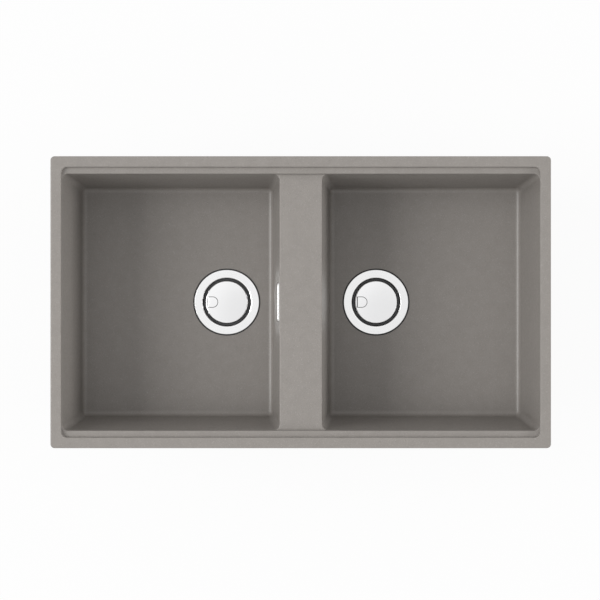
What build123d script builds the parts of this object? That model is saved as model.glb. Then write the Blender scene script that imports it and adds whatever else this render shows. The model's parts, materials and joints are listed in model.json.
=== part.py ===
from build123d import *
import math
import os

# Undermount double-bowl kitchen sink, moulded in stone composite, with two lidded basket wastes and
# an overflow in the left bowl. Millimetres, +Z up. The origin is the centre of the rim's top face,
# X runs along the length and Y from front to back.

# Sink body
LENGTH = 840.0
WIDTH = 490.0
RIM_WIDTH = 18.0
RIM_THICKNESS = 14.0
OUTER_CORNER_R = 7.0
RIM_EDGE_R = 2.0
LEDGE_WIDTH = 11.0
LEDGE_DROP = 8.0
RECESS_CORNER_R = 10.0
DIVIDER_WIDTH = 71.5
DIVIDER_DROP = 18.0
INNER_EDGE_R = 1.5
BOWL_DEPTH = 200.0
BOWL_R = 9.5
DRAFT = 4.4
FLOOR_FALL = 0.7
WALL = 10.0
FLOOR = 10.0
UNDER_RIM_FILLET_R = 4.0

# Clip inserts under the rim
INSERT_X = (-340.0, -120.0, 120.0, 340.0)
INSERT_R = 4.0
INSERT_BORE_R = 2.5
INSERT_LENGTH = 12.0
INSERT_GROOVE = 0.4
INSERT_END = 1.0
BOSS_R = 8.0
BOSS_DROP = 6.0

# Waste: flange and cup
WASTE_X = 132.0
WASTE_HOLE_R = 45.0
FLANGE_R = 57.0
SEAT_GAP = 2.5
SHEET = 1.2
FLANGE_SINK = 0.4
CUP_GAP = 1.5
CUP_LIP_R = 2.4
CUP_DEPTH = 50.0
CONE_DROP = 9.0
SUMP_DROP = 5.0
SUMP_R = 33.0
DRAIN_HOLES = 8
DRAIN_HOLE_R = 5.0
DRAIN_CIRCLE_R = 19.0
FLANGE_GASKET = 1.6
BODY_GASKET = 3.0
GASKET_MARGIN = 1.0
GASKET_FIT = 0.5

# Waste: body under the bowl
BODY_FLANGE_R = 56.0
BODY_FLANGE = 4.0
BODY_GAP = 3.0
BODY_WALL = 3.0
BODY_DEPTH = 43.0
FUNNEL_DROP = 18.0
OUTLET_R = 23.9
OUTLET_WALL = 4.4
OUTLET_LENGTH = 32.0
OUTLET_CHAMFER = 1.2
SHOULDER_STEP = 3.0
GUSSETS = 8
GUSSET_LENGTH = 20.0
GUSSET_THICK = 2.5
GUSSET_MARGIN = 1.0
SPIDER_ARMS = 4
SPIDER_THICK = 2.5
SPIDER_HEIGHT = 13.0
HUB_R = 10.0
HUB_LENGTH = 18.0
HUB_GAP = 7.0
HUB_FLOOR = 2.0

# Clamp screw and nut
SCREW_R = 3.0
SCREW_GAP = 0.3
SCREW_HEAD_R = 8.0
SCREW_HEAD = 3.5
SCREW_SLOT = 1.6
SCREW_END = 1.0
SCREW_END_GAP = 0.5
NUT_ACROSS = 10.0
NUT_HEIGHT = 6.0

# Stopper
SEAT_CLEARANCE = 0.35
STOPPER_R = 39.0
STOPPER_LIP_R = 35.0
STOPPER_TOP = 1.5
STOPPER_THICK = 3.0
STOPPER_HOLLOW_R = 30.0
STEM_R = 4.0
STEM_FIT = 0.06
STEM_HEAD_R = 5.0
STEM_HEAD = 4.0
STEM_COLLAR_R = 14.0
STEM_COLLAR = 1.5
CAP_R = 11.0
CAP_THICK = 2.0
CAP_END = 1.0

# Basket
AXIAL_PLAY = 0.3
BASKET_WALL = 1.3
BASKET_BOTTOM_R = 35.0
BASKET_TOP_R = 39.8
BASKET_GAP = 0.9
BASKET_TOP_DEPTH = 7.0
BASKET_LIFT = 1.2
COLUMN_R = 7.0
COLUMN_TOP_DEPTH = 10.0
COLUMN_NARROW = 9.7
HEAD_GAP = 0.4
SLOTS = 24
SLOT_WIDTH = 3.4
SLOT_MARGIN = 4.0
FLOOR_SLOTS = 12
FLOOR_SLOT_WIDTH = 3.0
FLOOR_SLOT_LENGTH = 15.0

# Lid and lift tab
LID_R = 37.5
LID_THICK = 4.6
LID_CROWN = 1.2
LID_EDGE_R = 1.8
LID_UNDER_R = 0.8
LID_BOSS_R = 9.5
LID_BOSS_OVERLAP = 8.0
TAB_TIP_X = 15.3
TAB_HALF = 9.8
TAB_GAP = 1.0
TAB_HINGE_X = 32.0
TAB_BARREL_R = 1.2
TAB_SEAT_GAP = 0.3
TAB_SWING_GAP = 0.7
TAB_CHAMFER = 0.8
PIN_R = 0.75
PIN_FIT = 0.05
PIN_GRIP = 2.4

# Overflow
OVERFLOW_DROP = 22.0
PLATE_LENGTH = 68.0
PLATE_HEIGHT = 26.0
PLATE_THICK = 2.8
PLATE_CORNER_R = 6.0
PLATE_EDGE_R = 0.8
PLATE_SLOT_LENGTH = 17.0
PLATE_SLOT_HEIGHT = 7.0
PLATE_SLOT_X = 15.0
WALL_SLOT_LENGTH = 50.0
WALL_SLOT_HEIGHT = 12.0
PLATE_SCREW_R = 2.0
PLATE_SCREW_GAP = 0.2
PLATE_SCREW_HEAD_R = 4.0
PLATE_SCREW_LENGTH = 28.0
PLATE_SCREW_CROSS = 0.9
PLATE_SCREW_CROSS_REACH = 2.7
WALL_GASKET = 2.0
HOUSING_LENGTH = 66.0
HOUSING_TOP = 10.5
HOUSING_BOTTOM = 18.0
HOUSING_FLANGE = 3.0
HOUSING_CORNER_R = 6.0
CHAMBER_MARGIN = 5.0
CHAMBER_TOP_MARGIN = 1.5
CHAMBER_WALL = 2.5
CHAMBER_DEPTH = 22.0
CHAMBER_CORNER_R = 4.0
SCREW_BOSS_R = 4.5
SOCKET_BACK = 13.0
PIPE_R = 10.0
PIPE_WALL = 1.8
PIPE_BEND_R = 32.0
SOCKET_FIT = 0.2
SOCKET_WALL = 2.8
SOCKET_DEPTH = 18.0
SOCKET_LENGTH = 25.0
SOCKET_STOP_GAP = 1.0
SEAL_LENGTH = 4.0
SEAL_MARGIN = 0.2
NUT_GRIP_R = 17.0
NUT_SIDES = 12
PIPE_NUT_LENGTH = 18.0
PIPE_NUT_LIP = 3.0
PIPE_NUT_GAP = 0.4
NUT_CHAMFER = 1.0

# Derived sizes
TAPER = math.tan(math.radians(DRAFT))
RECESS_X = LENGTH / 2 - RIM_WIDTH
RECESS_Y = WIDTH / 2 - RIM_WIDTH
BOWL_Y = RECESS_Y - LEDGE_WIDTH
BOWL_TOP_X = DIVIDER_WIDTH / 2 - DIVIDER_DROP * TAPER
BOWL_TOP_Y = BOWL_Y + LEDGE_DROP * TAPER
BOWL_MID_X = (BOWL_TOP_X + RECESS_X) / 2
WALL_OUT = WALL / math.cos(math.radians(DRAFT))
FLOOR_Z = -BOWL_DEPTH
UNDERSIDE_Z = FLOOR_Z - FLOOR
INSERT_Y = WIDTH / 2 - RIM_WIDTH / 2
INSERT_FOOT_Z = -RIM_THICKNESS - BOSS_DROP
FAR = LENGTH

# Waste levels, measured from the bowl floor at the waste's axis
CUP_R = WASTE_HOLE_R - CUP_GAP - SHEET
CUP_WALL_DEPTH = CUP_DEPTH - SUMP_DROP - CONE_DROP
FLANGE_TOP = -FLANGE_SINK
SEAT_DEPTH = FLANGE_SINK + SHEET + FLANGE_GASKET
SEAT_R = FLANGE_R + SEAT_GAP
CONE_SLOPE = CONE_DROP / (CUP_R - SUMP_R)
BODY_TOP = -FLOOR - BODY_GASKET
BODY_R = CUP_R + SHEET + BODY_GAP
BODY_CONE_TOP = BODY_TOP - BODY_DEPTH
BODY_CONE_END = BODY_CONE_TOP - FUNNEL_DROP
OUTLET_END = BODY_CONE_END - OUTLET_LENGTH
OUTLET_BORE_R = OUTLET_R - OUTLET_WALL
HUB_TOP = -CUP_DEPTH - SHEET - HUB_GAP
HUB_END = HUB_TOP - HUB_LENGTH
SCREW_WELL = HUB_END + HUB_FLOOR
NUT_FOOT = SCREW_WELL + SCREW_END_GAP + SCREW_END
SPIGOT_Z = -FLOOR - BODY_GASKET - BODY_FLANGE - NUT_GRIP_R - BODY_GAP
STOPPER_Z = -CUP_WALL_DEPTH - STOPPER_TOP
COLLAR_TOP = STOPPER_Z + STEM_COLLAR
COLUMN_FOOT = COLLAR_TOP + AXIAL_PLAY
COLUMN_STEP = COLUMN_FOOT + COLUMN_NARROW
BASKET_FOOT = COLUMN_FOOT + BASKET_LIFT
BASKET_RIM_R = CUP_R - BASKET_GAP
SLOT_IN_R = BASKET_BOTTOM_R - SLOT_MARGIN
FLOOR_SLOT_R = (COLUMN_R + BASKET_BOTTOM_R) / 2
LID_TOP = FLANGE_TOP + LID_CROWN
LID_UNDER = FLANGE_TOP - LID_THICK
DOME_R = (LID_R ** 2 + LID_CROWN ** 2) / (2 * LID_CROWN)
HINGE_Z = LID_TOP - LID_CROWN * (TAB_HINGE_X / LID_R) ** 2 - TAB_BARREL_R
TAB_UNDER = HINGE_Z - TAB_BARREL_R

# Overflow levels
OVERFLOW_Z = -DIVIDER_DROP - OVERFLOW_DROP
OVERFLOW_X = -(DIVIDER_WIDTH / 2 + OVERFLOW_DROP * TAPER)
WALL_FACE = Plane(
    origin=(OVERFLOW_X, 0, OVERFLOW_Z),
    x_dir=(0, -1, 0),
    z_dir=(-math.cos(math.radians(DRAFT)), 0, math.sin(math.radians(DRAFT))),
)
ON_WALL = Location(WALL_FACE)
HOUSING_FRONT = -WALL - WALL_GASKET
CHAMBER_FRONT = HOUSING_FRONT - HOUSING_FLANGE
CHAMBER_BACK = CHAMBER_FRONT - CHAMBER_DEPTH
HOUSING_HEIGHT = HOUSING_TOP + HOUSING_BOTTOM
HOUSING_MID = (HOUSING_TOP - HOUSING_BOTTOM) / 2
CHAMBER_LENGTH = HOUSING_LENGTH - 2 * CHAMBER_MARGIN
CHAMBER_TOP = HOUSING_TOP - CHAMBER_TOP_MARGIN
CHAMBER_BOTTOM = HOUSING_BOTTOM - CHAMBER_TOP_MARGIN
CHAMBER_HEIGHT = CHAMBER_TOP + CHAMBER_BOTTOM
CHAMBER_MID = (CHAMBER_TOP - CHAMBER_BOTTOM) / 2
SOCKET_BORE_R = PIPE_R + SOCKET_FIT
SOCKET_R = SOCKET_BORE_R + SOCKET_WALL
PIPE_BORE_R = PIPE_R - PIPE_WALL
PIPE_X = OVERFLOW_X + WALL + WALL_GASKET + HOUSING_FLANGE + SOCKET_BACK
TOP_SOCKET_Z = OVERFLOW_Z - CHAMBER_BOTTOM - SOCKET_LENGTH
LOW_SOCKET_X = -WASTE_X + BODY_R + BODY_WALL + SOCKET_LENGTH
LOW_PIPE_Z = FLOOR_Z + SPIGOT_Z
SOCKET_STOP = SOCKET_DEPTH - SOCKET_STOP_GAP


def block(x0, x1, y0, y1, z0, z1):
    """Straight box between the given limits."""
    return Pos((x0 + x1) / 2, (y0 + y1) / 2, (z0 + z1) / 2) * Box(x1 - x0, y1 - y0, z1 - z0)


def hopper(x0, x1, y_half, z_top, z_low):
    """Four-sided block whose walls draw in by the draft towards its foot."""
    inset = (z_top - z_low) * TAPER
    top = [(x0, -y_half, z_top), (x1, -y_half, z_top), (x1, y_half, z_top), (x0, y_half, z_top)]
    shift = [(inset, inset), (-inset, inset), (-inset, -inset), (inset, -inset)]
    low = [(p[0] + s[0], p[1] + s[1], z_low) for p, s in zip(top, shift)]
    sides = [[top[i], top[i - 1], low[i - 1], low[i]] for i in range(4)]
    return Solid(Shell([Face(Wire.make_polygon(points)) for points in [top, low] + sides]))


def round_uprights(solid, radius):
    """Rounds the four edges of a hopper that run up and down."""
    uprights = [edge for edge in solid.edges() if abs((edge @ 1 - edge @ 0).Z) > radius / 2]
    return fillet(uprights, radius)


def round_bowl(solid, radius):
    """Rounds every edge of a hopper that isn't part of its open top."""
    top = solid.faces().sort_by(Axis.Z)[-1].edges()
    return fillet([edge for edge in solid.edges() if edge not in top], radius)


def edges_at(solid, level):
    """Edges that lie in the plane at this height."""
    found = []
    for edge in solid.edges():
        box = edge.bounding_box()
        if abs(box.min.Z - level) < 0.01 and abs(box.max.Z - level) < 0.01:
            found.append(edge)
    return found


def turned(points):
    """Solid of revolution about Z from an outline of (radius, height) points."""
    outline = Polyline([(radius, 0, height) for radius, height in points], close=True)
    return revolve(make_face(outline), Axis.Z)


def rod(radius, z0, z1):
    """Upright cylinder between two heights."""
    return Pos(0, 0, (z0 + z1) / 2) * Cylinder(radius, abs(z1 - z0))


def ring_edges(solid, radius, level):
    """Full circles of this radius at this height."""
    circles = [edge for edge in solid.edges() if edge.geom_type == GeomType.CIRCLE]
    near = [edge for edge in circles if abs(edge.arc_center.Z - level) < 0.01]
    return [edge for edge in near if abs(edge.radius - radius) < 0.01]


def bowl_air():
    """Hollow of the right bowl below the level of the ledges, rounded in every corner."""
    sharp = hopper(BOWL_TOP_X, RECESS_X, BOWL_TOP_Y, 0, FLOOR_Z - FLOOR)
    fall = Plane((WASTE_X, 0, FLOOR_Z), z_dir=(-math.tan(math.radians(FLOOR_FALL)), 0, 1))
    rounded = round_bowl(split(sharp, fall, keep=Keep.TOP), BOWL_R)
    return rounded & block(0, FAR, -FAR, FAR, UNDERSIDE_Z, -LEDGE_DROP)


def flared(hollow, level):
    """Top of a hollow just below a level, its mouth opened out by the rounding of the edge there."""
    margin = 4 * INNER_EDGE_R
    box = hollow.bounding_box()
    slab = block(
        box.min.X - margin, box.max.X + margin,
        box.min.Y - margin, box.max.Y + margin,
        level - 2 * INNER_EDGE_R, level,
    )
    collar = slab - hollow
    mouth = collar.faces().sort_by(Axis.Z)[-1].inner_wires()[0].edges()
    return slab - collar.fillet(INNER_EDGE_R, mouth)


def lip_air():
    """Rounds the edges of both ledges, which run out into the end walls at the bowl corners."""
    wide = round_uprights(hopper(-RECESS_X, RECESS_X, BOWL_TOP_Y, 0, -2 * DIVIDER_DROP), BOWL_R)
    return flared(wide, -LEDGE_DROP) & hopper(-RECESS_X, RECESS_X, RECESS_Y, 0, -DIVIDER_DROP)


def brow_air(air):
    """Rounds the divider's right edge, which runs out into the ledge walls at the bowl corners."""
    walls = hopper(-BOWL_MID_X, BOWL_MID_X, BOWL_TOP_Y, 0, -2 * DIVIDER_DROP)
    return flared(air, -DIVIDER_DROP) & walls & block(0, BOWL_MID_X, -FAR, FAR, -FAR, 0)


def bowl_shell():
    """Outside of the right bowl, one wall thickness outside its hollow."""
    shell = hopper(BOWL_TOP_X - WALL_OUT, RECESS_X + WALL_OUT, BOWL_TOP_Y + WALL_OUT, 0, UNDERSIDE_Z)
    return round_bowl(shell, BOWL_R + WALL)


def wall_slot():
    """Overflow opening through the divider wall of the left bowl."""
    slot = SlotOverall(WALL_SLOT_LENGTH, WALL_SLOT_HEIGHT)
    return ON_WALL * Pos(0, 0, -WALL - WALL) * extrude(slot, 2 * WALL + WALL)


def in_recess(edge):
    """True for an edge round the recess, false for one on the outside of the rim."""
    middle = edge @ 0.5
    return abs(middle.X) < RECESS_X + RIM_WIDTH / 2 and abs(middle.Y) < RECESS_Y + RIM_WIDTH / 2


def sink_body():
    slab = extrude(RectangleRounded(LENGTH, WIDTH, OUTER_CORNER_R), -RIM_THICKNESS)
    shell = bowl_shell()
    body = slab + shell + mirror(shell, Plane.YZ)
    under = [e for e in edges_at(body, -RIM_THICKNESS) if abs((e @ 0.5).X) < RECESS_X + WALL_OUT]
    under = [e for e in under if abs((e @ 0.5).Y) < BOWL_TOP_Y + WALL_OUT]
    body = fillet(under, UNDER_RIM_FILLET_R)
    deck_low = -DIVIDER_DROP - WALL
    reach = BOWL_TOP_X + BOWL_R + WALL
    deck = hopper(-FAR / 2, FAR / 2, BOWL_TOP_Y + WALL_OUT, 0, deck_low)
    body = body + (deck & block(-reach, reach, -FAR, FAR, deck_low, -LEDGE_DROP))
    recess = round_uprights(hopper(-RECESS_X, RECESS_X, RECESS_Y, 0, -LEDGE_DROP), RECESS_CORNER_R)
    saddle = hopper(-BOWL_MID_X, BOWL_MID_X, BOWL_TOP_Y, 0, -DIVIDER_DROP)
    saddle = saddle & block(-FAR, FAR, -FAR, FAR, -DIVIDER_DROP, -LEDGE_DROP)
    air = bowl_air()
    brow = brow_air(air)
    body = body - recess - saddle - air - mirror(air, Plane.YZ)
    body = body - lip_air() - brow - mirror(brow, Plane.YZ)
    body = fillet([e for e in edges_at(body, 0) if not in_recess(e)], RIM_EDGE_R)
    body = fillet([e for e in edges_at(body, 0) if in_recess(e)], INNER_EDGE_R)

    for x in (-WASTE_X, WASTE_X):
        seat = rod(SEAT_R, -SEAT_DEPTH, FLOOR) + rod(WASTE_HOLE_R, -2 * FLOOR, 0)
        body = body - Pos(x, 0, FLOOR_Z) * seat
    for x, y in insert_places():
        body = body + Pos(x, y, 0) * rod(BOSS_R, INSERT_FOOT_Z, -RIM_THICKNESS / 2)
        body = body - Pos(x, y, INSERT_FOOT_Z) * rod(INSERT_R, 0, INSERT_LENGTH)
    return body - wall_slot()


def insert_places():
    return [(x, y) for y in (-INSERT_Y, INSERT_Y) for x in INSERT_X]


def rim_inserts():
    """Threaded brass inserts let into the bosses from below."""
    insert = rod(INSERT_R, 0, INSERT_LENGTH) - rod(INSERT_BORE_R, 0, INSERT_LENGTH - INSERT_END)
    third = INSERT_LENGTH / 3
    groove = rod(INSERT_R, third, 2 * third) - rod(INSERT_R - INSERT_GROOVE, third, 2 * third)
    insert = insert - groove
    return Compound(children=[Pos(x, y, INSERT_FOOT_Z) * insert for x, y in insert_places()])


def waste_cup():
    """Pressed flange drawn down into the strainer cup, with the stopper's conical seat and the sump."""
    cone_top = -CUP_WALL_DEPTH
    cone_end = cone_top - CONE_DROP
    miter = SHEET * math.tan(math.atan(1 / CONE_SLOPE) / 2)
    cup = turned([
        (0, -CUP_DEPTH),
        (SUMP_R, -CUP_DEPTH),
        (SUMP_R, cone_end),
        (CUP_R, cone_top),
        (CUP_R, FLANGE_TOP),
        (FLANGE_R, FLANGE_TOP),
        (FLANGE_R, FLANGE_TOP - SHEET),
        (CUP_R + SHEET, FLANGE_TOP - SHEET),
        (CUP_R + SHEET, cone_top - miter),
        (SUMP_R + SHEET, cone_end - miter),
        (SUMP_R + SHEET, -CUP_DEPTH - SHEET),
        (0, -CUP_DEPTH - SHEET),
    ])
    cup = fillet(ring_edges(cup, CUP_R, FLANGE_TOP), CUP_LIP_R)
    cup = fillet(ring_edges(cup, CUP_R + SHEET, FLANGE_TOP - SHEET), CUP_LIP_R - SHEET)
    cup = fillet(ring_edges(cup, FLANGE_R, FLANGE_TOP), SHEET / 2)
    drain = rod(DRAIN_HOLE_R, -CUP_DEPTH - 2 * SHEET, -CUP_DEPTH + SHEET)
    cup = cup - [place * drain for place in PolarLocations(DRAIN_CIRCLE_R, DRAIN_HOLES)]
    return cup - rod(SCREW_R + SCREW_GAP, -CUP_DEPTH - 2 * SHEET, -CUP_DEPTH + SHEET)


def flange_gasket():
    """Rubber ring under the flange, whose edge shows as a black line round it."""
    top = FLANGE_TOP - SHEET
    low = top - FLANGE_GASKET
    return rod(SEAT_R - GASKET_FIT, low, top) - rod(WASTE_HOLE_R + GASKET_MARGIN, low, top)


def body_gasket():
    return rod(BODY_FLANGE_R - GASKET_MARGIN, BODY_TOP, -FLOOR) - rod(BODY_R, BODY_TOP, -FLOOR)


def waste_body(with_spigot):
    """Moulded housing below the bowl: flange, funnel, outlet and the spider that takes the clamp screw."""
    wall_r = BODY_R + BODY_WALL
    outer = turned([
        (0, BODY_TOP),
        (BODY_FLANGE_R, BODY_TOP),
        (BODY_FLANGE_R, BODY_TOP - BODY_FLANGE),
        (wall_r, BODY_TOP - BODY_FLANGE),
        (wall_r, BODY_CONE_TOP),
        (OUTLET_R + SHOULDER_STEP, BODY_CONE_END),
        (OUTLET_R, BODY_CONE_END),
        (OUTLET_R, OUTLET_END),
        (0, OUTLET_END),
    ])
    outer = chamfer(ring_edges(outer, OUTLET_R, OUTLET_END), OUTLET_CHAMFER)
    inner = turned([
        (0, BODY_TOP),
        (BODY_R, BODY_TOP),
        (BODY_R, BODY_CONE_TOP + BODY_WALL / 2),
        (OUTLET_BORE_R, BODY_CONE_END + BODY_WALL / 2),
        (OUTLET_BORE_R, OUTLET_END),
        (0, OUTLET_END),
    ])
    foot = BODY_TOP - BODY_FLANGE
    gusset = Polyline([
        (BODY_R, 0, foot),
        (BODY_FLANGE_R - GUSSET_MARGIN, 0, foot),
        (BODY_R, 0, foot - GUSSET_LENGTH),
    ], close=True)
    gusset = extrude(make_face(gusset), GUSSET_THICK / 2, both=True)
    turns = [Rot(0, 0, (i + 0.5) * 360 / GUSSETS) for i in range(GUSSETS)]
    body = outer + [turn * gusset for turn in turns]
    if with_spigot:
        body = body + Pos(0, 0, SPIGOT_Z) * Rot(0, 90, 0) * rod(SOCKET_R, BODY_R, wall_r + SOCKET_LENGTH)
    body = body - inner
    half = SPIDER_THICK / 2
    arm = block(0, wall_r, -half, half, HUB_TOP - SPIDER_HEIGHT, HUB_TOP - SPIDER_THICK / 2)
    arms = [Rot(0, 0, (i + 0.5) * 360 / SPIDER_ARMS) * arm for i in range(SPIDER_ARMS)]
    spider = [outer & each for each in arms] + [rod(HUB_R, HUB_END, HUB_TOP)]
    body = body + spider
    body = body - rod(SCREW_R + SCREW_GAP, SCREW_WELL, HUB_TOP)
    body = body - Pos(0, 0, NUT_FOOT) * extrude(hexagon(), NUT_HEIGHT)
    if with_spigot:
        end = wall_r + SOCKET_LENGTH
        across = rod(SOCKET_BORE_R, end - SOCKET_DEPTH, end) + rod(PIPE_BORE_R, BODY_R - BODY_WALL, end)
        body = body - Pos(0, 0, SPIGOT_Z) * Rot(0, 90, 0) * across
    return body


def hexagon():
    return RegularPolygon(NUT_ACROSS / 2, 6, major_radius=False)


def clamp_nut():
    """Brass nut moulded into the hub, which is closed below it."""
    return Pos(0, 0, NUT_FOOT) * (extrude(hexagon(), NUT_HEIGHT) - rod(SCREW_R, 0, NUT_HEIGHT))


def clamp_screw():
    head = rod(SCREW_HEAD_R, -CUP_DEPTH, -CUP_DEPTH + SCREW_HEAD)
    head = fillet(ring_edges(head, SCREW_HEAD_R, -CUP_DEPTH + SCREW_HEAD), SCREW_HEAD / 3)
    top = -CUP_DEPTH + SCREW_HEAD
    slot = block(-FLANGE_R, FLANGE_R, -SCREW_SLOT / 2, SCREW_SLOT / 2, top - SCREW_HEAD / 2, top)
    return head + rod(SCREW_R, NUT_FOOT - SCREW_END, -CUP_DEPTH) - slot


def cone_level(radius):
    """Height of the cup's conical seat at a radius."""
    return -CUP_WALL_DEPTH - (CUP_R - radius) * CONE_SLOPE


def stopper_seal():
    """Rubber stopper whose lip lies over the cup's conical seat."""
    lift = SEAT_CLEARANCE / math.cos(math.atan(CONE_SLOPE))
    under = STOPPER_Z - STOPPER_THICK
    return turned([
        (STEM_R, STOPPER_Z),
        (STOPPER_R, STOPPER_Z),
        (STOPPER_R, cone_level(STOPPER_R) + lift),
        (STOPPER_LIP_R, cone_level(STOPPER_LIP_R) + lift),
        (STOPPER_HOLLOW_R, under),
        (STEM_R, under),
    ])


def stopper_stem():
    """Stem that snaps into the basket's column and carries the stopper."""
    head = COLUMN_STEP + AXIAL_PLAY
    foot = STOPPER_Z - STOPPER_THICK - CAP_THICK - CAP_END
    return turned([
        (0, foot),
        (STEM_R, foot),
        (STEM_R, STOPPER_Z),
        (STEM_COLLAR_R, STOPPER_Z),
        (STEM_COLLAR_R, COLLAR_TOP),
        (STEM_R, COLLAR_TOP),
        (STEM_R, head),
        (STEM_HEAD_R, head),
        (STEM_HEAD_R, head + STEM_HEAD / 2),
        (STEM_R, head + STEM_HEAD),
        (0, head + STEM_HEAD),
    ])


def stopper_cap():
    top = STOPPER_Z - STOPPER_THICK
    cap = rod(CAP_R, top - CAP_THICK, top) - rod(STEM_R, top - CAP_THICK, top)
    return fillet(ring_edges(cap, CAP_R, top - CAP_THICK), CAP_THICK / 3)


def basket():
    """Moulded strainer basket: slotted wall and floor, and the column that carries the lid."""
    rim = -BASKET_TOP_DEPTH
    shell = turned([
        (0, BASKET_FOOT),
        (BASKET_BOTTOM_R, BASKET_FOOT),
        (BASKET_TOP_R, rim - BASKET_WALL),
        (BASKET_RIM_R, rim - BASKET_WALL),
        (BASKET_RIM_R, rim),
        (BASKET_TOP_R - BASKET_WALL, rim),
        (BASKET_BOTTOM_R - BASKET_WALL, BASKET_FOOT + BASKET_WALL),
        (0, BASKET_FOOT + BASKET_WALL),
    ])
    half = SLOT_WIDTH / 2
    slot = block(SLOT_IN_R, CUP_R, -half, half, BASKET_FOOT + SLOT_MARGIN, rim - SLOT_MARGIN)
    shell = shell - [Rot(0, 0, i * 360 / SLOTS) * slot for i in range(SLOTS)]
    gap = Pos(0, 0, BASKET_FOOT) * Box(FLOOR_SLOT_LENGTH, FLOOR_SLOT_WIDTH, 4 * BASKET_WALL)
    shell = shell - [place * gap for place in PolarLocations(FLOOR_SLOT_R, FLOOR_SLOTS)]
    shell = shell + rod(COLUMN_R, COLUMN_FOOT, -COLUMN_TOP_DEPTH)
    shell = shell - rod(STEM_R + STEM_FIT, COLUMN_FOOT, COLUMN_STEP)
    return shell - rod(STEM_HEAD_R + HEAD_GAP, COLUMN_STEP, -COLUMN_TOP_DEPTH)


def tab_outline(half, tip_x, tail_x):
    """Outline of the lift tab: straight sides from the hinge and a half-round tip."""
    centre = tip_x - half
    sides = Polyline((centre, half), (tail_x, half), (tail_x, -half), (centre, -half))
    return make_face(sides + ThreePointArc((centre, -half), (tip_x, 0), (centre, half)))


def lid_disc():
    """Crowned disc of the lid, before its pocket is cut."""
    disc = rod(LID_R, LID_UNDER, LID_TOP) & (Pos(0, 0, LID_TOP - DOME_R) * Sphere(DOME_R))
    disc = fillet(disc.faces().sort_by(Axis.Z)[-1].edges(), LID_EDGE_R)
    return fillet(ring_edges(disc, LID_R, LID_UNDER), LID_UNDER_R)


def hinge_rod(radius, half_length):
    return Pos(-TAB_HINGE_X, 0, HINGE_Z) * Rot(90, 0, 0) * Cylinder(radius, 2 * half_length)


def lid():
    """Lid with the blind pocket that the lift tab folds into."""
    tail = -TAB_HINGE_X - TAB_BARREL_R - TAB_SWING_GAP
    pocket = extrude(tab_outline(TAB_HALF, -TAB_TIP_X, tail), LID_THICK)
    disc = lid_disc() - Pos(0, 0, TAB_UNDER - TAB_SEAT_GAP) * pocket
    boss = rod(LID_BOSS_R, -COLUMN_TOP_DEPTH - LID_BOSS_OVERLAP, LID_UNDER)
    disc = disc + boss - rod(COLUMN_R, -COLUMN_TOP_DEPTH - LID_BOSS_OVERLAP, -COLUMN_TOP_DEPTH)
    return disc - hinge_rod(PIN_R, LID_R)


def lift_tab():
    """Flush tab that folds up about its pin and lifts the basket out."""
    half = TAB_HALF - TAB_GAP
    plate = extrude(tab_outline(half, -TAB_TIP_X - TAB_GAP, -TAB_HINGE_X), LID_THICK)
    plate = lid_disc() & (Pos(0, 0, TAB_UNDER) * plate)
    tip = [e for e in edges_at(plate, TAB_UNDER) if e.geom_type == GeomType.CIRCLE]
    plate = chamfer(tip, TAB_CHAMFER)
    return plate + hinge_rod(TAB_BARREL_R, half) - hinge_rod(PIN_R + PIN_FIT, TAB_HALF)


def tab_pin():
    return hinge_rod(PIN_R, TAB_HALF + PIN_GRIP)


def overflow_plate():
    plate = extrude(RectangleRounded(PLATE_LENGTH, PLATE_HEIGHT, PLATE_CORNER_R), PLATE_THICK)
    plate = fillet(plate.faces().sort_by(Axis.Z)[-1].edges(), PLATE_EDGE_R)
    slot = extrude(SlotOverall(PLATE_SLOT_LENGTH, PLATE_SLOT_HEIGHT), PLATE_THICK)
    plate = plate - Pos(-PLATE_SLOT_X, 0, 0) * slot - Pos(PLATE_SLOT_X, 0, 0) * slot
    plate = plate - rod(PLATE_SCREW_R + PLATE_SCREW_GAP, 0, PLATE_THICK)
    return ON_WALL * (plate - screw_head())


def screw_head():
    """Countersunk head, flush with the plate's face."""
    shank = PLATE_SCREW_R + PLATE_SCREW_GAP
    low = PLATE_THICK - (PLATE_SCREW_HEAD_R - shank)
    return turned([(0, PLATE_THICK), (PLATE_SCREW_HEAD_R, PLATE_THICK), (shank, low), (0, low)])


def overflow_screw():
    screw = screw_head() + rod(PLATE_SCREW_R, PLATE_THICK - PLATE_SCREW_LENGTH, PLATE_THICK / 2)
    half = PLATE_SCREW_CROSS / 2
    reach = PLATE_SCREW_CROSS_REACH
    cross = block(-reach, reach, -half, half, PLATE_THICK / 2, PLATE_THICK)
    return ON_WALL * (screw - cross - Rot(0, 0, 90) * cross)


def wall_gasket():
    frame = Pos(0, HOUSING_MID) * RectangleRounded(HOUSING_LENGTH, HOUSING_HEIGHT, HOUSING_CORNER_R)
    frame = frame - SlotOverall(WALL_SLOT_LENGTH + 2 * GASKET_MARGIN, WALL_SLOT_HEIGHT + 2 * GASKET_MARGIN)
    return ON_WALL * Pos(0, 0, HOUSING_FRONT) * extrude(frame, WALL_GASKET)


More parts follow.
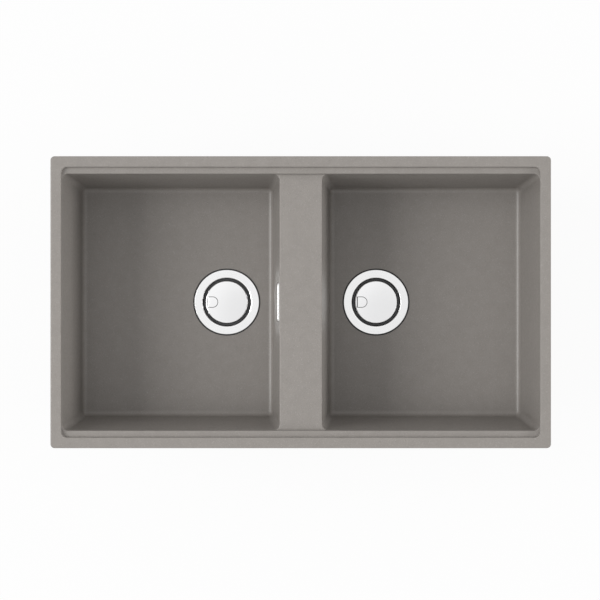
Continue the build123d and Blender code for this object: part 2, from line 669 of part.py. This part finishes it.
def overflow_housing():
    """Moulded chamber behind the wall, with the plate screw's boss and a pipe socket below."""
    flange = RectangleRounded(HOUSING_LENGTH, HOUSING_HEIGHT, HOUSING_CORNER_R)
    flange = Pos(0, HOUSING_MID, CHAMBER_FRONT) * extrude(flange, HOUSING_FLANGE)
    outline = RectangleRounded(CHAMBER_LENGTH, CHAMBER_HEIGHT, CHAMBER_CORNER_R)
    chamber = Pos(0, CHAMBER_MID, CHAMBER_BACK) * extrude(outline, CHAMBER_DEPTH)
    chamber = fillet(chamber.faces().sort_by(Axis.Z)[0].edges(), CHAMBER_CORNER_R - CHAMBER_WALL)
    hollow = offset(outline, -CHAMBER_WALL, kind=Kind.INTERSECTION)
    hollow = extrude(hollow, CHAMBER_DEPTH + HOUSING_FLANGE - CHAMBER_WALL)
    hollow = ON_WALL * Pos(0, CHAMBER_MID, CHAMBER_BACK + CHAMBER_WALL) * hollow
    boss = rod(SCREW_BOSS_R, CHAMBER_BACK, CHAMBER_FRONT)
    boss = ON_WALL * (boss - rod(PLATE_SCREW_R, CHAMBER_BACK, CHAMBER_FRONT))
    at_pipe = Pos(PIPE_X, 0, 0)
    socket = at_pipe * rod(SOCKET_R, TOP_SOCKET_Z, OVERFLOW_Z - CHAMBER_BOTTOM + CHAMBER_WALL)
    bore = rod(SOCKET_BORE_R, TOP_SOCKET_Z, TOP_SOCKET_Z + SOCKET_DEPTH)
    bore = at_pipe * (bore + rod(PIPE_BORE_R, TOP_SOCKET_Z, OVERFLOW_Z))
    housing = ON_WALL * (flange + chamber) + socket - hollow - bore
    return housing + boss


def overflow_pipe():
    """Rigid pipe that runs down between the bowls and turns under the left bowl."""
    top = (PIPE_X, 0, TOP_SOCKET_Z + SOCKET_STOP)
    elbow = (PIPE_X, 0, LOW_PIPE_Z)
    end = (LOW_SOCKET_X - SOCKET_STOP, 0, LOW_PIPE_Z)
    path = FilletPolyline(top, elbow, end, radius=PIPE_BEND_R)
    section = Plane(origin=top, z_dir=(0, 0, -1))
    return sweep(section * Circle(PIPE_R), path) - sweep(section * Circle(PIPE_BORE_R), path)


def pipe_joints():
    """Places of the two pipe joints: the socket's mouth at the origin, +Z pointing out of the socket."""
    upper = Pos(PIPE_X, 0, TOP_SOCKET_Z) * Rot(180, 0, 0)
    lower = Pos(LOW_SOCKET_X, 0, LOW_PIPE_Z) * Rot(0, 90, 0)
    return [upper, lower]


def pipe_seals():
    seal = rod(SOCKET_R - SEAL_MARGIN, 0, SEAL_LENGTH) - rod(PIPE_R, 0, SEAL_LENGTH)
    return Compound(children=[place * seal for place in pipe_joints()])


def pipe_nuts():
    """Grip nuts screwed over the sockets, each pressing its seal onto the pipe."""
    end = SEAL_LENGTH + PIPE_NUT_LIP
    start = end - PIPE_NUT_LENGTH
    nut = Pos(0, 0, start) * extrude(RegularPolygon(NUT_GRIP_R, NUT_SIDES), PIPE_NUT_LENGTH)
    nut = chamfer(edges_at(nut, start) + edges_at(nut, end), NUT_CHAMFER)
    nut = nut - rod(SOCKET_R, start, SEAL_LENGTH) - rod(PIPE_R + PIPE_NUT_GAP, SEAL_LENGTH, end)
    return Compound(children=[place * nut for place in pipe_joints()])


def save(node, shape):
    export_step(shape, f"parts/{node}.step")


def main():
    os.makedirs("parts", exist_ok=True)
    save("sink_body", sink_body())
    save("rim_inserts", rim_inserts())
    waste_pieces = {
        "waste_cup": waste_cup(),
        "flange_gasket": flange_gasket(),
        "body_gasket": body_gasket(),
        "clamp_screw": clamp_screw(),
        "clamp_nut": clamp_nut(),
        "stopper_seal": stopper_seal(),
        "stopper_stem": stopper_stem(),
        "stopper_cap": stopper_cap(),
        "basket": basket(),
        "lid": lid(),
        "lift_tab": lift_tab(),
        "tab_pin": tab_pin(),
    }
    for side, x in (("left", -WASTE_X), ("right", WASTE_X)):
        place = Pos(x, 0, FLOOR_Z)
        save(f"{side}_waste_body", place * waste_body(side == "left"))
        for name, piece in waste_pieces.items():
            save(f"{side}_{name}", place * piece)
    save("overflow_plate", overflow_plate())
    save("overflow_screw", overflow_screw())
    save("overflow_gasket", wall_gasket())
    save("overflow_housing", overflow_housing())
    save("overflow_pipe", overflow_pipe())
    save("overflow_pipe_seals", pipe_seals())
    save("overflow_pipe_nuts", pipe_nuts())


main()
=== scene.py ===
import json
import math

import bmesh
import bpy
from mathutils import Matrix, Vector


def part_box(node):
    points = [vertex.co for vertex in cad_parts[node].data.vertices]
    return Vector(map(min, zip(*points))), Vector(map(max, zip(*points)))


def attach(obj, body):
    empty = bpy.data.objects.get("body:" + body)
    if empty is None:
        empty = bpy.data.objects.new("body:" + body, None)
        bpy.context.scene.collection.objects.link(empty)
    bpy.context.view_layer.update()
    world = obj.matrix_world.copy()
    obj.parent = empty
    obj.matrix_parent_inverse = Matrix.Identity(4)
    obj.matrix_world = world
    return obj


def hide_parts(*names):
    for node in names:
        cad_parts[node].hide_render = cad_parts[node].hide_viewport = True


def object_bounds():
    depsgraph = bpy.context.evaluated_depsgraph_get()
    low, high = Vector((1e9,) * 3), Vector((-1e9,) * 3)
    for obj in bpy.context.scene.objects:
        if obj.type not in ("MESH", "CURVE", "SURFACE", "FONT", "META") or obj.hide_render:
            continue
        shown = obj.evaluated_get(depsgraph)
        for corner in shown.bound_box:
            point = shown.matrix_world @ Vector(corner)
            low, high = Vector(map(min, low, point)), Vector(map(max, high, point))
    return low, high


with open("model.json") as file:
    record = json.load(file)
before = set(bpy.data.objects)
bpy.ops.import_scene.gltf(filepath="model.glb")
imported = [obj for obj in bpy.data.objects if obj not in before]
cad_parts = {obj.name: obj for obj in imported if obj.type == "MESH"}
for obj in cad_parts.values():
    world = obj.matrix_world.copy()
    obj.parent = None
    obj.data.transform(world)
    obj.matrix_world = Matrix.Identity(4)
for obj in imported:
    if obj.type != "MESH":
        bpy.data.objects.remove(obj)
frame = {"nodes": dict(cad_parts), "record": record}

CAD_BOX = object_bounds()
MOUNTS = {mount["name"]: mount for mount in frame["record"]["mounts"]}

# lid, in metres: its axis and top from the solid, the fall of its crown, the tab's pocket below the crown,
# and painted shade there
LID_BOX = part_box("right_lid")
LID_X = (LID_BOX[0][0] + LID_BOX[1][0]) / 2
LID_R = (LID_BOX[1][0] - LID_BOX[0][0]) / 2
LID_CROWN = 0.0012
POCKET_REACH = 0.0355
POCKET_EDGE = 0.0001
POCKET_DEPTH = 0.0040
# painted shade: the near-black colour that stands in for the shadow in the tab's pocket, then the pocket's
# roughness
POCKET_SHADE_COLOUR = (0.05, 0.05, 0.052)
POCKET_ROUGH = 0.6

# composite: the colour of its ground, how far that varies, the sand in it and its roughness
STONE = (0.258, 0.2385, 0.2205)
STONE_MOTTLE = 0.03
SAND_SHADE = 0.55
SAND_STRENGTH = 0.20
STONE_ROUGH = (0.32, 0.42)

# grains of the composite: cells to a metre, the share of cells that hold a grain, how far a grain reaches in
# its cell, how strongly it shows, and its colour
PALE_GRAIN = (0.52, 0.50, 0.47)
GRAINS = (
    (1300, 0.12, 0.42, 0.50, PALE_GRAIN),
    (1500, 0.14, 0.42, 0.50, (0.088, 0.081, 0.074)),
    (620, 0.05, 0.42, 0.45, (0.105, 0.097, 0.088)),
    (680, 0.04, 0.40, 0.40, PALE_GRAIN),
)
GRAIN_CORE = 0.6             # share of a grain's reach that has its full strength

# polished metal: colours, and the roughness between and in its polishing marks, as shares of a piece's own
FLANGE_METAL = (0.96, 0.96, 0.96)
LID_METAL = (0.94, 0.94, 0.945)
LID_ROUGH = 0.08
FIXING_METAL = (0.72, 0.71, 0.69)
BRASS = (0.76, 0.55, 0.24)
METAL_SHADE = 0.97
BRIGHT_SHARE = 0.75
MARKED_SHARE = 1.3
TURNING_MARKS = (1, 1, 6)    # how turned pieces have their marks pressed together along the axis

# rubber and plastics
RUBBER = (0.016, 0.016, 0.017)
RUBBER_BLOOM = (0.040, 0.040, 0.041)
RUBBER_ROUGH = (0.62, 0.82)
WHITE_PLASTIC = (0.80, 0.80, 0.78)
GREY_PLASTIC = (0.045, 0.045, 0.048)
FLOW_SHADE = 0.94

# what most of a noise pattern lies between
NOISE_LOW = 0.3
NOISE_HIGH = 0.7

# outlet thread, in metres: 11 turns to the inch, with its crests at the solid's radius
OUTLET_R = MOUNTS["left_outlet"]["dims"]["r_mm"] / 1000
OUTLET_LENGTH = 0.0320
THREAD_PITCH = 0.0254 / 11
THREAD_DEPTH = 0.64          # depth, and half widths of the ridge's foot and crest, as shares of the pitch
THREAD_FOOT = 0.46
THREAD_CREST = 0.09
THREAD_ROOT_R = OUTLET_R - THREAD_DEPTH * THREAD_PITCH
THREAD_SINK = 0.0003         # how far the ridge's foot is let into the outlet
THREAD_TURNS = 11
TURN_STEPS = 48
THREAD_START = 0.0022        # from the outlet's end to the middle of the first turn
THREAD_LEAD_IN = THREAD_PITCH / 2
THREAD_RUN_OUT = 0.0280      # from the outlet's end to where the thread has run out
END_CHAMFER = 0.0008
MESH_WELD = 0.000001
RING_TOLERANCE = 0.00005
SMOOTH_ANGLE = math.radians(30)

# camera and stage, in metres
RIM_FRAME = 1.0064           # width of the picture in the plane of the rim
CAMERA_HEIGHT = 3.646
CAMERA_X = 0.022
PICTURE_X = -0.0012          # what lies in the middle of the picture
PICTURE_Y = 0.0037
SENSOR = 36.0
CLIP_END = 50.0
FLOOR_DROP = 0.0005
FLOOR_SIZE = 12.0
FLOOR_COLOUR = (0.70, 0.70, 0.70)
FLOOR_ROUGH = 0.9
FLOOR_WHITE = 0.93           # share of plain white that is seen in the floor; the rest keeps the shadow

# light: each soft box has a power, the azimuth and elevation that it stands at, and the length of its sides
AMBIENT = 0.70
LAMP_AIM = Vector((0.0, 0.0, -0.1))
LAMP_DISTANCE = 10.0
SOFT_BOXES = {
    "left_light": (560.0, 180, 45, 5.0),
    "right_light": (430.0, 0, 18, 2.4),
}
UNSEEN_IN_GLOSS = ("right_light",)   # so low that it would glare on the rim
DIM_PATCH = (0.13, -0.10, 0.98)      # direction of the dimmer patch of sky that the lids show
DIM_EDGE = 0.94                      # cosine of the angle from there to the patch's edge
DIM_SHARE = 0.16


def shade(colour, share):
    return tuple(share * part for part in colour)


class Finish:
    """A Principled finish whose colour, roughness and relief come from patterns on object coordinates."""

    def __init__(self, name, colour, metal=0.0):
        self.material = bpy.data.materials.new(name)
        self.material.use_nodes = True
        self.nodes = self.material.node_tree.nodes
        self.links = self.material.node_tree.links
        self.shader = self.nodes["Principled BSDF"]
        self.shader.inputs["Base Color"].default_value = (*colour, 1)
        self.shader.inputs["Metallic"].default_value = metal
        self.place = self.nodes.new("ShaderNodeTexCoord").outputs["Object"]

    def put(self, value, socket):
        """Links a pattern to a socket, or sets it where the value is plain."""
        if isinstance(value, bpy.types.NodeSocket):
            self.links.new(value, socket)
        elif socket.type == "RGBA":
            socket.default_value = (*value, 1)
        else:
            socket.default_value = value

    def stretched(self, scale):
        node = self.nodes.new("ShaderNodeMapping")
        node.inputs["Scale"].default_value = scale
        self.links.new(self.place, node.inputs["Vector"])
        return node.outputs["Vector"]

    def noise(self, per_metre, detail=2.0, stretch=None):
        node = self.nodes.new("ShaderNodeTexNoise")
        self.links.new(self.stretched(stretch) if stretch else self.place, node.inputs["Vector"])
        node.inputs["Scale"].default_value = per_metre
        node.inputs["Detail"].default_value = detail
        return node.outputs["Fac"]

    def remap(self, value, low, high, to_low, to_high):
        """Carries one range over to another, with soft ends."""
        node = self.nodes.new("ShaderNodeMapRange")
        node.interpolation_type = "SMOOTHSTEP"
        for i, each in enumerate((value, low, high, to_low, to_high)):
            self.put(each, node.inputs[i])
        return node.outputs["Result"]

    def spread(self, noise, to_low=0.0, to_high=1.0):
        """Carries most of a noise pattern over to a range."""
        return self.remap(noise, NOISE_LOW, NOISE_HIGH, to_low, to_high)

    def math(self, operation, a, b=0.0):
        node = self.nodes.new("ShaderNodeMath")
        node.operation = operation
        self.put(a, node.inputs[0])
        self.put(b, node.inputs[1])
        return node.outputs["Value"]

    def flecks(self, per_metre, share, reach):
        """Round grains: a share of the cells, each filled out to reach of its size."""
        node = self.nodes.new("ShaderNodeTexVoronoi")
        self.links.new(self.place, node.inputs["Vector"])
        node.inputs["Scale"].default_value = per_metre
        split = self.nodes.new("ShaderNodeSeparateColor")
        self.links.new(node.outputs["Color"], split.inputs["Color"])
        chosen = self.math("LESS_THAN", split.outputs["Red"], share)
        grain = self.remap(node.outputs["Distance"], GRAIN_CORE * reach, reach, 1.0, 0.0)
        return self.math("MULTIPLY", chosen, grain)

    def blend(self, factor, a, b):
        """Goes from colour a to colour b with the factor."""
        node = self.nodes.new("ShaderNodeMix")
        node.data_type = "RGBA"
        self.put(factor, node.inputs["Factor"])
        ends = [socket for socket in node.inputs if socket.type == "RGBA"]
        for value, socket in zip((a, b), ends):
            self.put(value, socket)
        return next(socket for socket in node.outputs if socket.type == "RGBA")

    def colour(self, pattern):
        self.links.new(pattern, self.shader.inputs["Base Color"])

    def rough(self, pattern):
        self.links.new(pattern, self.shader.inputs["Roughness"])

    def relief(self, height, depth, strength=1.0):
        node = self.nodes.new("ShaderNodeBump")
        node.inputs["Strength"].default_value = strength
        node.inputs["Distance"].default_value = depth
        self.links.new(height, node.inputs["Height"])
        self.links.new(node.outputs["Normal"], self.shader.inputs["Normal"])


def composite_stone():
    """Cast composite: warm grey, faintly mottled, with fine pale and dark grains and a silky surface."""
    finish = Finish("composite_stone", STONE)
    cloud = finish.spread(finish.noise(per_metre=55, detail=4))
    ground = finish.blend(cloud, shade(STONE, 1 - STONE_MOTTLE), shade(STONE, 1 + STONE_MOTTLE))
    sand = finish.spread(finish.noise(per_metre=2600), to_high=SAND_STRENGTH)
    ground = finish.blend(sand, ground, shade(STONE, SAND_SHADE))
    for per_metre, share, reach, strength, colour in GRAINS:
        grain = finish.math("MULTIPLY", finish.flecks(per_metre, share, reach), strength)
        ground = finish.blend(grain, ground, colour)
    finish.colour(ground)
    finish.rough(finish.spread(finish.noise(per_metre=260, detail=3), *STONE_ROUGH))
    finish.relief(finish.noise(per_metre=2200, detail=3), depth=0.00005)
    return finish.material


def tab_pocket(finish):
    """1 in a lid's pocket, where its shade is painted: within the lid's edge, below its crown and above its
    underside.
    """
    split = finish.nodes.new("ShaderNodeSeparateXYZ")
    finish.links.new(finish.place, split.inputs["Vector"])
    along = finish.math("SUBTRACT", finish.math("ABSOLUTE", split.outputs["X"]), LID_X)
    across = split.outputs["Y"]
    along_square = finish.math("MULTIPLY", along, along)
    across_square = finish.math("MULTIPLY", across, across)
    square = finish.math("ADD", along_square, across_square)
    fall = finish.math("MULTIPLY", square, LID_CROWN / LID_R ** 2)
    crown = finish.math("SUBTRACT", LID_BOX[1][2], fall)
    depth = finish.math("SUBTRACT", crown, split.outputs["Z"])
    pocket_shade_mask = finish.math("LESS_THAN", square, POCKET_REACH ** 2)
    for operation, limit in (("GREATER_THAN", POCKET_EDGE), ("LESS_THAN", POCKET_DEPTH)):
        pocket_shade_mask = finish.math("MULTIPLY", pocket_shade_mask, finish.math(operation, depth, limit))
    return pocket_shade_mask


def polished_metal(name, colour, rough, stretch=None, pocket=False):
    """Bright metal with faint polishing marks; in a lid's pocket it is rougher and has shade painted near
    black.
    """
    finish = Finish(name, colour, metal=1.0)
    marks = finish.noise(per_metre=70, detail=4, stretch=stretch)
    cloud = finish.noise(per_metre=45)
    bright = finish.blend(cloud, shade(colour, METAL_SHADE), colour)
    sheen = finish.spread(marks, BRIGHT_SHARE * rough, MARKED_SHARE * rough)
    if pocket:
        pocket_shade_mask = tab_pocket(finish)
        # painted shade: the pocket's faces are coloured near black for the shadow that falls in them
        bright = finish.blend(pocket_shade_mask, bright, POCKET_SHADE_COLOUR)
        sheen = finish.math("MAXIMUM", sheen, finish.math("MULTIPLY", pocket_shade_mask, POCKET_ROUGH))
    finish.colour(bright)
    finish.rough(sheen)
    finish.relief(marks, depth=0.000004, strength=0.4)
    return finish.material


def moulded_plastic(name, colour, rough):
    """Injection moulded plastic: a fine even grain and a slight flow mottle."""
    finish = Finish(name, colour)
    flow = finish.spread(finish.noise(per_metre=40, detail=3))
    finish.colour(finish.blend(flow, shade(colour, FLOW_SHADE), colour))
    grain = finish.noise(per_metre=1400)
    finish.rough(finish.spread(grain, *rough))
    finish.relief(grain, depth=0.00003)
    return finish.material


def seal_rubber():
    """Black rubber with a dusty bloom."""
    finish = Finish("seal_rubber", RUBBER)
    bloom = finish.remap(finish.noise(per_metre=120, detail=5), low=0.45, high=0.75, to_low=0.0, to_high=1.0)
    finish.colour(finish.blend(bloom, RUBBER, RUBBER_BLOOM))
    finish.rough(finish.remap(bloom, 0.0, 1.0, *RUBBER_ROUGH))
    finish.relief(finish.noise(per_metre=1800), depth=0.00004)
    return finish.material


FINISHES = {
    "composite": composite_stone(),
    "flange_steel": polished_metal("flange_steel", FLANGE_METAL, rough=0.14),
    "lid_chrome": polished_metal("lid_chrome", LID_METAL, LID_ROUGH),
    "lid_with_pocket_shade": polished_metal("lid_with_pocket_shade", LID_METAL, LID_ROUGH, pocket=True),
    "fixing_steel": polished_metal("fixing_steel", FIXING_METAL, rough=0.24, stretch=TURNING_MARKS),
    "brass": polished_metal("brass", BRASS, rough=0.26, stretch=TURNING_MARKS),
    "rubber": seal_rubber(),
    "white_plastic": moulded_plastic("white_plastic", WHITE_PLASTIC, rough=(0.33, 0.47)),
    "grey_plastic": moulded_plastic("grey_plastic", GREY_PLASTIC, rough=(0.31, 0.45)),
}
# the lids' own material carries the painted shade of their tab pockets
OWN_FINISH = {"left_lid": "lid_with_pocket_shade", "right_lid": "lid_with_pocket_shade"}


def dress_pieces():
    """Gives each solid the finish of its slot, and the lids their own."""
    for piece in frame["record"]["subparts"]:
        node = frame["nodes"][piece["node"]]
        finish = FINISHES[OWN_FINISH.get(piece["node"], piece["material_slot"])]
        if not node.material_slots:
            node.data.materials.append(finish)
        for place in node.material_slots:
            place.material = finish


def radius_of(vertex, axis):
    return math.hypot(vertex.co.x - axis.x, vertex.co.y - axis.y)


def set_radius(vertex, axis, radius):
    """Moves a vertex straight in or out, to a radius about an upright axis."""
    out = vertex.co - axis
    out.z = 0
    vertex.co += out * (radius / out.length - 1)


def turn_down_outlet(mesh, axis, end):
    """Turns the outlet's outside down to the root of its thread, with a chamfer at its end."""
    for vertex in mesh.verts:
        height = vertex.co.z - end
        if height > OUTLET_LENGTH + RING_TOLERANCE:
            continue
        radius = radius_of(vertex, axis)
        if abs(radius - OUTLET_R) < RING_TOLERANCE:
            set_radius(vertex, axis, THREAD_ROOT_R)
        elif height < RING_TOLERANCE and radius > THREAD_ROOT_R - END_CHAMFER:
            set_radius(vertex, axis, THREAD_ROOT_R - END_CHAMFER)


def thread_ridge(axis, end):
    """The ridge that winds up the outlet from near its end and runs out below the shoulder."""
    mesh = bmesh.new()
    foot_r = THREAD_ROOT_R - THREAD_SINK
    section = (
        (foot_r, -THREAD_FOOT),
        (OUTLET_R, -THREAD_CREST),
        (OUTLET_R, THREAD_CREST),
        (foot_r, THREAD_FOOT),
    )
    start = end + THREAD_START
    corners = [mesh.verts.new((axis.x + r, axis.y, start + share * THREAD_PITCH)) for r, share in section]
    first = mesh.faces.new(corners)
    made = bmesh.ops.spin(
        mesh,
        geom=list(first.edges),
        cent=axis,
        axis=(0, 0, 1),
        dvec=(0, 0, THREAD_PITCH / TURN_STEPS),
        angle=2 * math.pi * THREAD_TURNS,
        steps=THREAD_TURNS * TURN_STEPS,
        use_merge=False,
        use_duplicate=False,
    )
    last = [edge for edge in made["geom_last"] if isinstance(edge, bmesh.types.BMEdge)]
    bmesh.ops.contextual_create(mesh, geom=last)
    for vertex in mesh.verts:
        height = vertex.co.z - end
        limit = max(foot_r, THREAD_ROOT_R + min(height - THREAD_LEAD_IN, THREAD_RUN_OUT - height))
        if radius_of(vertex, axis) > limit:
            set_radius(vertex, axis, limit)
    bmesh.ops.recalc_face_normals(mesh, faces=mesh.faces)
    data = bpy.data.meshes.new("thread_ridge")
    mesh.to_mesh(data)
    mesh.free()
    return data


def threaded_body(side):
    """A waste body whose outlet carries a real thread for the trap's nut."""
    solid = side + "_waste_body"
    name = side + "_threaded_body"
    axis = Vector(MOUNTS[side + "_outlet"]["pos_m"])
    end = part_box(solid)[0][2]
    mesh = bmesh.new()
    mesh.from_mesh(frame["nodes"][solid].data)
    bmesh.ops.remove_doubles(mesh, verts=mesh.verts, dist=MESH_WELD)
    turn_down_outlet(mesh, axis, end)
    ridge = thread_ridge(axis, end)
    mesh.from_mesh(ridge)
    bpy.data.meshes.remove(ridge)
    data = bpy.data.meshes.new(name)
    mesh.to_mesh(data)
    mesh.free()
    data.shade_smooth()
    data.set_sharp_from_angle(angle=SMOOTH_ANGLE)
    data.materials.append(FINISHES["white_plastic"])
    piece = bpy.data.objects.new(name, data)
    bpy.context.collection.objects.link(piece)
    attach(piece, "sink")
    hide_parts(solid)


def seen_rays(nodes, links):
    """1 for the rays that show the background: the camera's, and those that metal sends on."""
    path = nodes.new("ShaderNodeLightPath")
    total = path.outputs["Is Camera Ray"]
    for name in ("Is Glossy Ray", "Is Transmission Ray"):
        node = nodes.new("ShaderNodeMath")
        node.operation = "MAXIMUM"
        links.new(total, node.inputs[0])
        links.new(path.outputs[name], node.inputs[1])
        total = node.outputs["Value"]
    return total


def studio_world():
    """White where it is seen, but for a dimmer patch overhead, and a level of its own where it lights."""
    world = bpy.data.worlds.new("studio")
    world.use_nodes = True
    nodes = world.node_tree.nodes
    links = world.node_tree.links
    toward = nodes.new("ShaderNodeVectorMath")
    toward.operation = "DOT_PRODUCT"
    links.new(nodes.new("ShaderNodeTexCoord").outputs["Generated"], toward.inputs[0])
    toward.inputs[1].default_value = DIM_PATCH
    white = nodes.new("ShaderNodeMapRange")
    white.interpolation_type = "SMOOTHSTEP"
    white.inputs["From Min"].default_value = DIM_EDGE
    white.inputs["To Min"].default_value = 1.0
    white.inputs["To Max"].default_value = 1.0 - DIM_SHARE
    links.new(toward.outputs["Value"], white.inputs["Value"])
    strength = nodes.new("ShaderNodeMapRange")
    strength.inputs["To Min"].default_value = AMBIENT
    links.new(seen_rays(nodes, links), strength.inputs["Value"])
    links.new(white.outputs["Result"], strength.inputs["To Max"])
    sky = nodes["Background"]
    sky.inputs["Color"].default_value = (1, 1, 1, 1)
    links.new(strength.outputs["Result"], sky.inputs["Strength"])
    bpy.context.scene.world = world


def studio_floor():
    """A pale floor just under the outlets, white to the camera but for a soft trace of the shadow."""
    low = CAD_BOX[0][2] - FLOOR_DROP
    bpy.ops.mesh.primitive_plane_add(size=FLOOR_SIZE, location=(0, 0, 0))
    floor = bpy.context.object
    floor.name = "studio_floor"
    for vertex in floor.data.vertices:
        vertex.co.z = low
    material = bpy.data.materials.new("studio_floor")
    material.use_nodes = True
    nodes = material.node_tree.nodes
    links = material.node_tree.links
    lit = nodes["Principled BSDF"]
    lit.inputs["Base Color"].default_value = (*FLOOR_COLOUR, 1)
    lit.inputs["Roughness"].default_value = FLOOR_ROUGH
    lit.inputs["Specular IOR Level"].default_value = 0.0
    white = nodes.new("ShaderNodeEmission")
    white.inputs["Color"].default_value = (1, 1, 1, 1)
    white.inputs["Strength"].default_value = 1.0
    share = nodes.new("ShaderNodeMath")
    share.operation = "MULTIPLY"
    links.new(seen_rays(nodes, links), share.inputs[0])
    share.inputs[1].default_value = FLOOR_WHITE
    both = nodes.new("ShaderNodeMixShader")
    links.new(share.outputs["Value"], both.inputs["Fac"])
    links.new(lit.outputs["BSDF"], both.inputs[1])
    links.new(white.outputs["Emission"], both.inputs[2])
    links.new(both.outputs["Shader"], nodes["Material Output"].inputs["Surface"])
    floor.data.materials.append(material)


def soft_box(name, power, azimuth, elevation, side):
    """A square lamp aimed at the sink; azimuth 180 stands at its left end, 90 behind it."""
    lamp = bpy.data.lights.new(name, "AREA")
    lamp.size = side
    lamp.energy = power
    holder = bpy.data.objects.new(name, lamp)
    bpy.context.collection.objects.link(holder)
    round_angle = math.radians(azimuth)
    up_angle = math.radians(elevation)
    toward = Vector((
        math.cos(up_angle) * math.cos(round_angle),
        math.cos(up_angle) * math.sin(round_angle),
        math.sin(up_angle),
    ))
    holder.location = LAMP_AIM + LAMP_DISTANCE * toward
    holder.rotation_euler = (0, math.pi / 2 - up_angle, round_angle)
    holder.visible_glossy = name not in UNSEEN_IN_GLOSS


def studio_camera():
    """Straight down, with +X to the right and +Y up."""
    data = bpy.data.cameras.new("camera")
    data.sensor_width = SENSOR
    data.lens = SENSOR * CAMERA_HEIGHT / RIM_FRAME
    data.shift_x = (PICTURE_X - CAMERA_X) / RIM_FRAME
    data.clip_end = CLIP_END
    camera = bpy.data.objects.new("camera", data)
    camera.location = (CAMERA_X, PICTURE_Y, CAMERA_HEIGHT)
    bpy.context.collection.objects.link(camera)
    bpy.context.scene.camera = camera


dress_pieces()
for side in ("left", "right"):
    threaded_body(side)
studio_world()
studio_floor()
for name, setting in SOFT_BOXES.items():
    soft_box(name, *setting)
studio_camera()
bpy.context.scene.view_settings.view_transform = "Standard"
